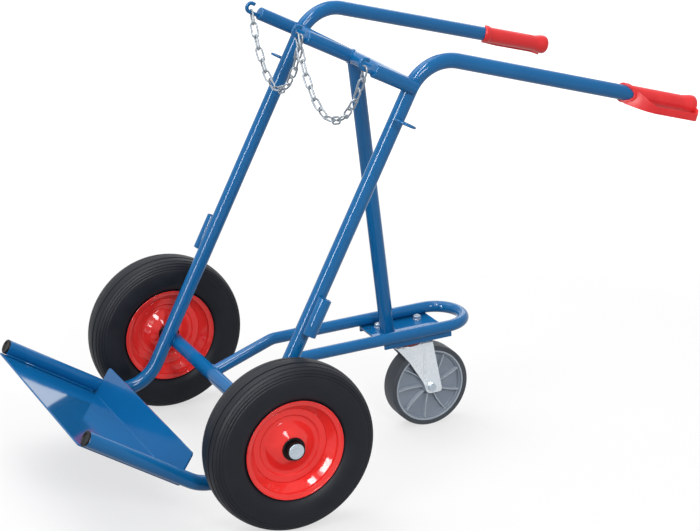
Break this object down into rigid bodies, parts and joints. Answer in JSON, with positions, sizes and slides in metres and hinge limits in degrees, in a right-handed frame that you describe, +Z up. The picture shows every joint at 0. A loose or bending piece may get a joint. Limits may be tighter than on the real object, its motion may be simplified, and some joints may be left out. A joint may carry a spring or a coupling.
{
  "type": "gas bottle trolley",
  "caption": "Gas-bottle trolley: leaning bent-tube frame with guarded grips, toe plate, hooked safety chains, large wheels and a rear swivel castor.",
  "frame": {"origin": "on the ground, under the middle of the trolley's length and width", "axes": "+Y rearwards from the toe plate to the handles, +Z up, +X to the left-hand side of a person who stands at the handles and faces the toe plate"},
  "size_m": [0.858, 1.4924, 1.0267],
  "materials": {
    "blue_paint": "gloss powder coat",
    "red_paint": "gloss",
    "red_plastic": "satin",
    "zinc": "bright zinc plate",
    "tyre": "matte",
    "black_plastic": "satin",
    "grey_plastic": "satin",
    "grey_rubber": "matte",
    "seal_plastic": "satin"
  },
  "bodies": {
    "frame": {"side_tube_left": "blue_paint", "side_tube_right": "blue_paint", "crossbar": "blue_paint", "arm_left": "blue_paint", "arm_centre": "blue_paint", "arm_right": "blue_paint", "arm_caps": "blue_paint", "chain_hook_left": "blue_paint", "chain_hook_centre": "blue_paint", "chain_hook_right": "blue_paint", "toe_plate": "blue_paint", "toe_plugs": "black_plastic", "rod_sleeve_left": "blue_paint", "rod_ring_left": "blue_paint", "rod_sleeve_right": "blue_paint", "rod_ring_right": "blue_paint", "axle_tube": "blue_paint", "axle_bar": "zinc", "axle_bushes": "zinc", "axle_spacers": "zinc", "axle_washers": "zinc", "axle_caps": "zinc", "support_loop": "blue_paint", "castor_mount_plate": "blue_paint", "centre_strut": "blue_paint", "castor_top_plate": "zinc", "castor_bolts": "zinc", "castor_washers": "zinc", "castor_nuts": "zinc", "kingpin": "zinc", "grip_left": "red_plastic", "grip_right": "red_plastic"},
    "wheel_left": {"tyre_left": "tyre", "rim_barrel_left": "red_paint", "disc_outer_left": "red_paint", "disc_inner_left": "red_paint", "hub_tube_left": "red_paint", "hub_bushes_left": "black_plastic"},
    "wheel_right": {"tyre_right": "tyre", "rim_barrel_right": "red_paint", "disc_outer_right": "red_paint", "disc_inner_right": "red_paint", "hub_tube_right": "red_paint", "hub_bushes_right": "black_plastic"},
    "castor_swivel": {"castor_fork": "zinc", "swivel_balls": "zinc", "swivel_seal": "seal_plastic", "castor_axle": "zinc", "castor_axle_nut": "zinc", "castor_spacers": "zinc"},
    "castor_wheel": {"castor_rim": "grey_plastic", "castor_tread": "grey_rubber", "castor_bush": "zinc"},
    "chain_left": {"chain_left": "zinc"},
    "chain_right": {"chain_right": "zinc"}
  },
  "joints": [
    {"name": "left_wheel_spin", "type": "hinge", "parent": "frame", "child": "wheel_left", "pos_m": [0.38, -0.29912, 0.195], "axis": [1, 0, 0], "continuous": true},
    {"name": "right_wheel_spin", "type": "hinge", "parent": "frame", "child": "wheel_right", "pos_m": [-0.38, -0.29912, 0.195], "axis": [1, 0, 0], "continuous": true},
    {"name": "castor_turn", "type": "hinge", "parent": "frame", "child": "castor_swivel", "pos_m": [0, 0.17753, 0.24811], "axis": [0, -0.0366, 0.9993], "continuous": true},
    {"name": "castor_wheel_spin", "type": "hinge", "parent": "castor_swivel", "child": "castor_wheel", "pos_m": [0, 0.23491, 0.1025], "axis": [1, 0, 0], "continuous": true},
    {"name": "left_chain_swing", "type": "hinge", "parent": "frame", "child": "chain_left", "pos_m": [-0.00282, -0.10129, 1.00715], "axis": [0.9976, 0.062, -0.0309], "range_deg": [-45, 4]},
    {"name": "right_chain_swing", "type": "hinge", "parent": "frame", "child": "chain_right", "pos_m": [0.00293, -0.09136, 1.0022], "axis": [0.9994, -0.0303, 0.0151], "range_deg": [-4, 4]}
  ]
}
